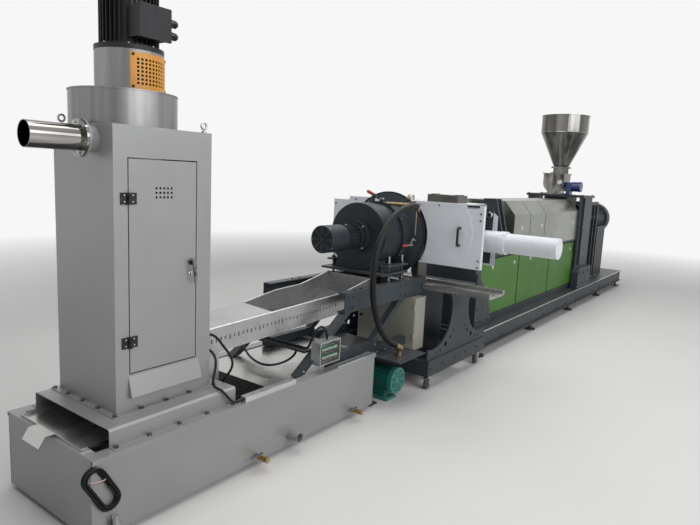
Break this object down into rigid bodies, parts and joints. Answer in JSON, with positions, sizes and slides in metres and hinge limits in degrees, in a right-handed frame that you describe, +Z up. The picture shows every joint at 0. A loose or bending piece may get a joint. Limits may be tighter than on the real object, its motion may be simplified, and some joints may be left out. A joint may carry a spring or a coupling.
{
  "type": "plastic_extruder_pelletizing_line",
  "caption": "Plastic extruder line with water-ring pelletizing head, die cart with hood, collecting chute, water tank and centrifugal drying tower with hinged door",
  "frame": {"origin": "centre of the footprint's bounding box, at floor level", "axes": "+X runs along the line from the drying tower to the main motor, +Z is up, and the operator's side with the tower door and the cylinder cover is -Y"},
  "size_m": [9.023, 1.793, 2.49],
  "materials": {
    "satin_silver_paint": "satin silver-grey spray paint",
    "stainless_sheet": "brushed stainless steel sheet",
    "polished_stainless": "polished stainless steel",
    "zinc_steel": "zinc-plated steel",
    "blue_grey_paint": "semi-gloss dark blue-grey paint",
    "white_paint": "glossy white powder coat",
    "green_paint": "semi-gloss leaf green paint",
    "orange_paint": "orange-yellow powder coat",
    "black_paint": "black paint",
    "black_plastic": "matt black moulded plastic",
    "pump_green_paint": "glossy blue-green pump paint",
    "motor_blue_paint": "glossy blue motor paint",
    "beige_paint": "satin beige-grey paint",
    "brass": "plain brass",
    "black_rubber": "matt black rubber",
    "cable_black": "black cable jacket",
    "grey_steel": "machined and dark heat-marked steel",
    "anodised_duct": "plain aluminium cable duct",
    "wheel_grey": "grey caster tread"
  },
  "bodies": {
    "line": {"water_tank": "satin_silver_paint", "tank_screens": "stainless_sheet", "leveling_feet": "zinc_steel", "drain_valves": "brass", "cable_duct": "anodised_duct", "hat_cover": "satin_silver_paint", "sieve_tray": "stainless_sheet", "tower_cabinet": "satin_silver_paint", "screen_drum": "stainless_sheet", "door_hinges": "black_plastic", "discharge_collar": "satin_silver_paint", "motor_pedestal": "satin_silver_paint", "vent_guard": "orange_paint", "tower_motor": "black_paint", "lifting_eyes": "zinc_steel", "outlet_spigot": "satin_silver_paint", "outlet_pipe": "polished_stainless", "chute": "satin_silver_paint", "frame_rails": "blue_grey_paint", "frame_braces": "blue_grey_paint", "water_pump": "pump_green_paint", "terminal_box": "anodised_duct", "pelletizer_base": "blue_grey_paint", "cutter_motor": "blue_grey_paint", "cutter_housing": "blue_grey_paint", "water_chamber": "blue_grey_paint", "chamber_levers": "polished_stainless", "hose_fittings": "brass", "water_hose": "black_rubber", "cart_frame": "blue_grey_paint", "slide_plate": "stainless_sheet", "caster_forks": "zinc_steel", "caster_wheels": "wheel_grey", "heater_box": "beige_paint", "hood_front": "white_paint", "hood_door": "white_paint", "hood_handle": "black_plastic", "hood_shell": "white_paint", "cylinder_cover": "white_paint", "screen_changer": "grey_steel", "barrel": "grey_steel", "bulkheads": "blue_grey_paint", "extruder_base": "blue_grey_paint", "machine_body": "blue_grey_paint", "side_panels": "green_paint", "barrel_covers": "stainless_sheet", "feed_stand": "blue_grey_paint", "feeder_chamber": "polished_stainless", "feeder_motor": "motor_blue_paint", "hopper": "polished_stainless", "gearbox": "blue_grey_paint", "main_motor": "blue_grey_paint", "cable_hank": "cable_black", "roof_cap": "grey_steel", "tower_cable": "cable_black", "duct_cable": "cable_black", "box_cable": "cable_black"},
    "tower_door": {"tower_door": "satin_silver_paint", "hinge_leaves": "black_plastic"},
    "door_lock": {"door_handle": "polished_stainless"}
  },
  "joints": [
    {"name": "tower_door_hinge", "type": "hinge", "parent": "line", "child": "tower_door", "pos_m": [-4.163, 0.1305, 1.106], "axis": [0, 0, -1], "range_deg": [0, 110]},
    {"name": "door_lock_turn", "type": "hinge", "parent": "tower_door", "child": "door_lock", "pos_m": [-3.8365, 0.1425, 1.11], "axis": [0, 1, 0], "range_deg": [0, 90]}
  ]
}
